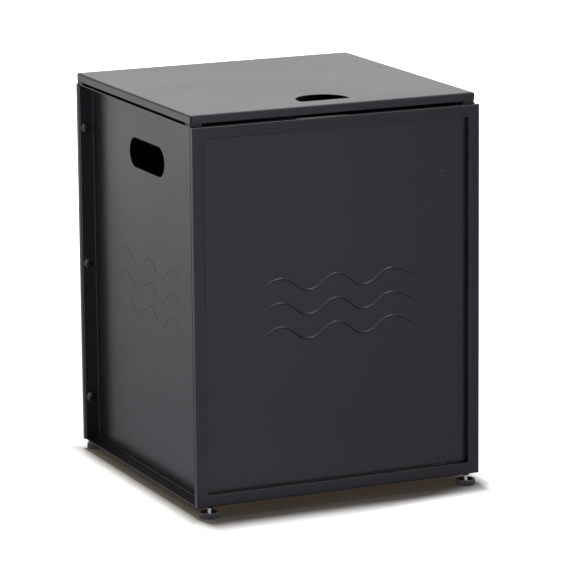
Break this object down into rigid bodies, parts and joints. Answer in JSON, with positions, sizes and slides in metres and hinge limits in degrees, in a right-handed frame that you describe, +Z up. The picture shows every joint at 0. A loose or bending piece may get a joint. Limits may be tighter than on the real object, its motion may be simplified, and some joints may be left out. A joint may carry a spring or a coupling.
{
  "type": "propane tank cover table",
  "caption": "Square steel cabinet on levelling feet that hides a gas bottle and serves as a side table, with a lift-off lid, a finger hole and side handle slots.",
  "frame": {"origin": "on the floor, under the middle of the cabinet", "axes": "+Z up, +Y to the back, +X to the right seen from the front"},
  "size_m": [0.406, 0.422, 0.5255],
  "materials": {
    "black_paint": "black powder coat, semi-gloss, smooth",
    "screw_paint": "black oxide, satin",
    "zinc_plate": "bright zinc plate",
    "foot_plastic": "black moulded nylon, matt",
    "pad_rubber": "black rubber, matt"
  },
  "bodies": {
    "cabinet": {"back_frame_bottom_rail": "black_paint", "back_frame_left_post": "black_paint", "back_frame_right_post": "black_paint", "back_frame_top_rail": "black_paint", "back_left_foot_insert": "zinc_plate", "back_left_post_insert_1": "zinc_plate", "back_left_post_insert_2": "zinc_plate", "back_left_post_insert_3": "zinc_plate", "back_left_screw_1": "screw_paint", "back_left_screw_2": "screw_paint", "back_left_screw_3": "screw_paint", "back_panel": "black_paint", "back_right_foot_insert": "zinc_plate", "back_right_post_insert_1": "zinc_plate", "back_right_post_insert_2": "zinc_plate", "back_right_post_insert_3": "zinc_plate", "back_right_screw_1": "screw_paint", "back_right_screw_2": "screw_paint", "back_right_screw_3": "screw_paint", "front_frame_bottom_rail": "black_paint", "front_frame_left_post": "black_paint", "front_frame_right_post": "black_paint", "front_frame_top_rail": "black_paint", "front_left_foot_insert": "zinc_plate", "front_left_post_insert_1": "zinc_plate", "front_left_post_insert_2": "zinc_plate", "front_left_post_insert_3": "zinc_plate", "front_left_screw_1": "screw_paint", "front_left_screw_2": "screw_paint", "front_left_screw_3": "screw_paint", "front_panel": "black_paint", "front_right_foot_insert": "zinc_plate", "front_right_post_insert_1": "zinc_plate", "front_right_post_insert_2": "zinc_plate", "front_right_post_insert_3": "zinc_plate", "front_right_screw_1": "screw_paint", "front_right_screw_2": "screw_paint", "front_right_screw_3": "screw_paint", "left_side_panel": "black_paint", "right_side_panel": "black_paint"},
    "lid": {"lid_back_left_pad": "pad_rubber", "lid_back_right_pad": "pad_rubber", "lid_front_left_pad": "pad_rubber", "lid_front_right_pad": "pad_rubber", "lid_left_stiffener": "black_paint", "lid_right_stiffener": "black_paint", "lid_tray": "black_paint"},
    "front_left_foot": {"front_left_foot_base": "foot_plastic", "front_left_foot_stud": "zinc_plate"},
    "front_right_foot": {"front_right_foot_base": "foot_plastic", "front_right_foot_stud": "zinc_plate"},
    "back_left_foot": {"back_left_foot_base": "foot_plastic", "back_left_foot_stud": "zinc_plate"},
    "back_right_foot": {"back_right_foot_base": "foot_plastic", "back_right_foot_stud": "zinc_plate"}
  },
  "joints": [
    {"name": "lid_lift", "type": "slide", "parent": "cabinet", "child": "lid", "axis": [0, 0, 1], "range_m": [0, 0.12]},
    {"name": "front_left_foot_screw_travel", "type": "slide", "parent": "cabinet", "child": "front_left_foot", "axis": [0, 0, 1], "range_m": [-0.005, 0.0045]},
    {"name": "front_right_foot_screw_travel", "type": "slide", "parent": "cabinet", "child": "front_right_foot", "axis": [0, 0, 1], "range_m": [-0.005, 0.0045]},
    {"name": "back_left_foot_screw_travel", "type": "slide", "parent": "cabinet", "child": "back_left_foot", "axis": [0, 0, 1], "range_m": [-0.005, 0.0045]},
    {"name": "back_right_foot_screw_travel", "type": "slide", "parent": "cabinet", "child": "back_right_foot", "axis": [0, 0, 1], "range_m": [-0.005, 0.0045]}
  ]
}
